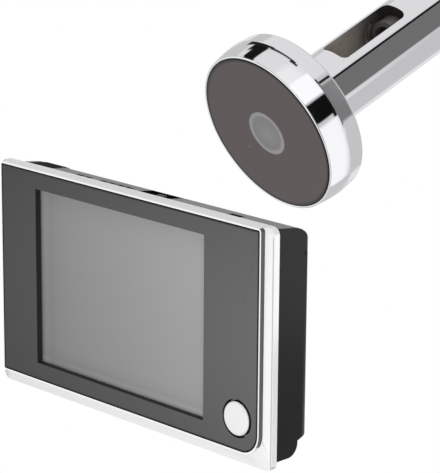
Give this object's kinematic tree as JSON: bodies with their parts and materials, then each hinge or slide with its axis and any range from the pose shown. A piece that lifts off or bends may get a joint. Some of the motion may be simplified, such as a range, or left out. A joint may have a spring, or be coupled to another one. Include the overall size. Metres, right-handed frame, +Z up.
{
  "type": "peephole door camera",
  "caption": "Indoor door viewer monitor with a display and a round button on a hooked bracket, beside the chrome camera unit that goes through the door.",
  "frame": {"origin": "middle of the bracket's back face, where it lies on the door", "axes": "+X to the right seen from indoors, +Y towards the door, +Z up"},
  "size_m": [0.23, 0.1261, 0.1654],
  "materials": {
    "silver_plastic": "smooth silver paint",
    "charcoal_plastic": "fine satin charcoal",
    "button_silver": "smooth silver",
    "switch_plastic": "moulded",
    "zinc_steel": "zinc plated",
    "display_glass": "matt display surface",
    "board_green": "solder resist",
    "chip_black": "moulded",
    "ivory_plastic": "moulded",
    "knob_plastic": "moulded",
    "housing_black": "satin moulded",
    "cell_can": "sleeved can",
    "plated_chrome": "polished plating",
    "gasket_rubber": "smooth",
    "tinted_acrylic": "polished tint",
    "clear_window": "polished",
    "lens_glass": "polished",
    "led_clear": "clear"
  },
  "bodies": {
    "door_set": {"mounting_bracket": "zinc_steel", "flange": "plated_chrome", "face_gasket": "gasket_rubber", "face_disc": "tinted_acrylic", "lens_window": "clear_window", "lens_glass": "lens_glass", "lens_barrel": "chip_black", "lens_holder": "chip_black", "image_sensor": "chip_black", "camera_board": "board_green", "camera_board_screws": "zinc_steel", "ir_leds": "led_clear", "light_sensor": "led_clear", "barrel": "plated_chrome"},
    "monitor": {"front_bezel": "silver_plastic", "front_panel": "charcoal_plastic", "tact_switch": "zinc_steel", "lcd_glass": "display_glass", "lcd_frame": "zinc_steel", "main_board": "board_green", "board_chips": "chip_black", "board_screws": "zinc_steel", "camera_socket": "ivory_plastic", "power_switch_body": "zinc_steel", "rear_housing": "housing_black", "housing_screws": "zinc_steel", "battery_cells": "cell_can", "battery_contacts": "zinc_steel"},
    "view_button": {"view_button": "button_silver", "switch_plunger": "switch_plastic"},
    "battery_cover": {"battery_cover": "housing_black"},
    "power_switch": {"power_switch_knob": "knob_plastic"},
    "clamp_washer": {"clamp_washer": "ivory_plastic"},
    "clamp_tube": {"clamp_tube": "plated_chrome"}
  },
  "joints": [
    {"name": "monitor_lift", "type": "slide", "parent": "door_set", "child": "monitor", "axis": [0, 0, 1], "range_m": [0, 0.005]},
    {"name": "view_button_press", "type": "slide", "parent": "monitor", "child": "view_button", "axis": [0, 1, 0], "range_m": [0, 0.0005], "stiffness_N_per_m": 3000},
    {"name": "battery_cover_slide", "type": "slide", "parent": "monitor", "child": "battery_cover", "axis": [0, 0, -1], "range_m": [0, 0.056]},
    {"name": "power_switch_slide", "type": "slide", "parent": "monitor", "child": "power_switch", "axis": [1, 0, 0], "range_m": [0, 0.004]},
    {"name": "clamp_advance", "type": "slide", "parent": "door_set", "child": "clamp_washer", "axis": [0.0642, 0.9183, 0.3907], "range_m": [-0.015, 0.015]},
    {"name": "clamp_turn", "type": "hinge", "parent": "clamp_washer", "child": "clamp_tube", "pos_m": [0.13941, -0.04738, 0.12258], "axis": [0.0642, 0.9183, 0.3907], "range_deg": [-3601, 3601]}
  ],
  "couplings": [
    {"joint": "clamp_turn", "follows": "clamp_advance", "rad_per_m": 4188.8}
  ]
}
